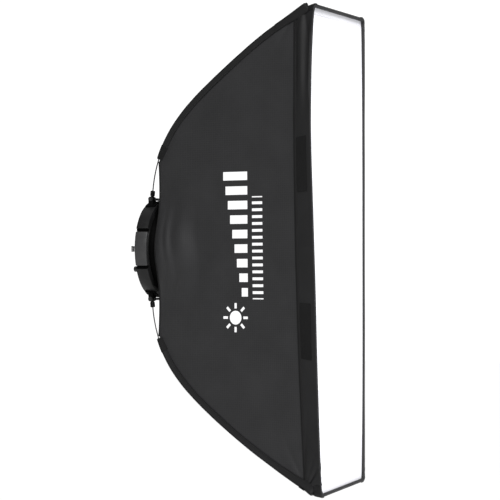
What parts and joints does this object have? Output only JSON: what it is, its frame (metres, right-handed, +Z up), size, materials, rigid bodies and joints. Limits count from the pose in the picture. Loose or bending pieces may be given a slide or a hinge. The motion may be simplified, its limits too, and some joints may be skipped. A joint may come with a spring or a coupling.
{
  "type": "studio softbox",
  "caption": "Black strip softbox with a white front diffuser, bowed spring rods and a folding grey speed ring with a turning bayonet insert.",
  "frame": {"origin": "centre of the light mount, on the speed ring's rear face", "axes": "+Z up along the box's long side, X across its short side, +Y back toward the light; the box opens toward -Y"},
  "size_m": [0.3104, 0.4123, 0.914],
  "materials": {
    "grey_plastic": "satin, fine grain",
    "black_plastic": "matte",
    "black_knob": "gloss",
    "bright_metal": "satin",
    "spring_steel": "brushed",
    "screw_steel": "dark zinc",
    "black_ripstop": "woven",
    "black_webbing": "woven",
    "black_hook_tape": "looped",
    "silver_fabric": "silver coated",
    "white_diffusion": "fine weave",
    "grey_binding": "woven tape"
  },
  "bodies": {
    "speed_ring": {"axle_clips": "spring_steel", "baffle_straps": "black_webbing", "bottom_lip": "black_ripstop", "bottom_panel": "black_ripstop", "bracket_screws": "screw_steel", "cover_screws": "screw_steel", "diffuser_hook_tape": "black_hook_tape", "edge_binding": "grey_binding", "fabric_retainer": "bright_metal", "front_diffuser": "white_diffusion", "front_hub": "black_plastic", "hinge_axles": "spring_steel", "inner_baffle": "white_diffusion", "insert_brake_pad": "black_plastic", "left_collar_wall": "black_ripstop", "left_paddle_springs": "spring_steel", "left_side_lip": "black_ripstop", "left_side_panel": "black_ripstop", "lip_loop_tape": "black_hook_tape", "lip_patches": "black_hook_tape", "lower_collar_wall": "black_ripstop", "lower_hinge_bracket": "black_plastic", "lower_left_corner_pocket": "black_ripstop", "lower_left_rod_sleeve": "black_ripstop", "lower_right_corner_pocket": "black_ripstop", "lower_right_rod_sleeve": "black_ripstop", "rear_collar": "black_ripstop", "rear_cover": "grey_plastic", "retainer_screws": "screw_steel", "right_collar_wall": "black_ripstop", "right_paddle_springs": "spring_steel", "right_side_lip": "black_ripstop", "right_side_panel": "black_ripstop", "ring_housing": "grey_plastic", "silver_lining": "silver_fabric", "sleeve_webbing": "black_webbing", "top_lip": "black_ripstop", "top_panel": "black_ripstop", "upper_collar_wall": "black_ripstop", "upper_hinge_bracket": "black_plastic", "upper_left_corner_pocket": "black_ripstop", "upper_left_rod_sleeve": "black_ripstop", "upper_right_corner_pocket": "black_ripstop", "upper_right_rod_sleeve": "black_ripstop"},
    "upper_rods": {"upper_left_rod": "spring_steel", "upper_left_rod_holder": "black_plastic", "upper_left_rod_tip": "black_plastic", "upper_right_rod": "spring_steel", "upper_right_rod_holder": "black_plastic", "upper_right_rod_tip": "black_plastic"},
    "lower_rods": {"lower_left_rod": "spring_steel", "lower_left_rod_holder": "black_plastic", "lower_left_rod_tip": "black_plastic", "lower_right_rod": "spring_steel", "lower_right_rod_holder": "black_plastic", "lower_right_rod_tip": "black_plastic"},
    "insert": {"mount_insert": "bright_metal"},
    "knob": {"lock_knob": "black_knob"},
    "left_paddle": {"left_release_paddle": "grey_plastic"},
    "right_paddle": {"right_release_paddle": "grey_plastic"}
  },
  "joints": [
    {"name": "upper_fold", "type": "hinge", "parent": "speed_ring", "child": "upper_rods", "pos_m": [0, -0.012, 0.098], "axis": [1, 0, 0], "range_deg": [0, 42], "deforming": ["baffle_straps", "diffuser_hook_tape", "edge_binding", "front_diffuser", "inner_baffle", "left_collar_wall", "left_side_lip", "left_side_panel", "lip_loop_tape", "lip_patches", "rear_collar", "right_collar_wall", "right_side_lip", "right_side_panel", "silver_lining", "sleeve_webbing", "top_lip", "top_panel", "upper_collar_wall", "upper_left_corner_pocket", "upper_left_rod_sleeve", "upper_right_corner_pocket", "upper_right_rod_sleeve"]},
    {"name": "lower_fold", "type": "hinge", "parent": "speed_ring", "child": "lower_rods", "pos_m": [0, -0.012, -0.098], "axis": [-1, 0, 0], "range_deg": [0, 42], "deforming": ["bottom_lip", "bottom_panel", "lower_collar_wall", "lower_left_corner_pocket", "lower_left_rod_sleeve", "lower_right_corner_pocket", "lower_right_rod_sleeve"]},
    {"name": "insert_turn", "type": "hinge", "parent": "speed_ring", "child": "insert", "pos_m": [0, 0, 0], "axis": [0, 1, 0], "continuous": true},
    {"name": "knob_turn", "type": "hinge", "parent": "speed_ring", "child": "knob", "pos_m": [-0.07533, 0, -0.03938], "axis": [0, 1, 0], "range_deg": [0, 270]},
    {"name": "left_paddle_press", "type": "slide", "parent": "speed_ring", "child": "left_paddle", "axis": [1, 0, 0], "range_m": [0, 0.003], "stiffness_N_per_m": 900, "springref_m": -0.004, "deforming": ["left_paddle_springs"]},
    {"name": "right_paddle_press", "type": "slide", "parent": "speed_ring", "child": "right_paddle", "axis": [-1, 0, 0], "range_m": [0, 0.003], "stiffness_N_per_m": 900, "springref_m": -0.004, "deforming": ["right_paddle_springs"]}
  ]
}
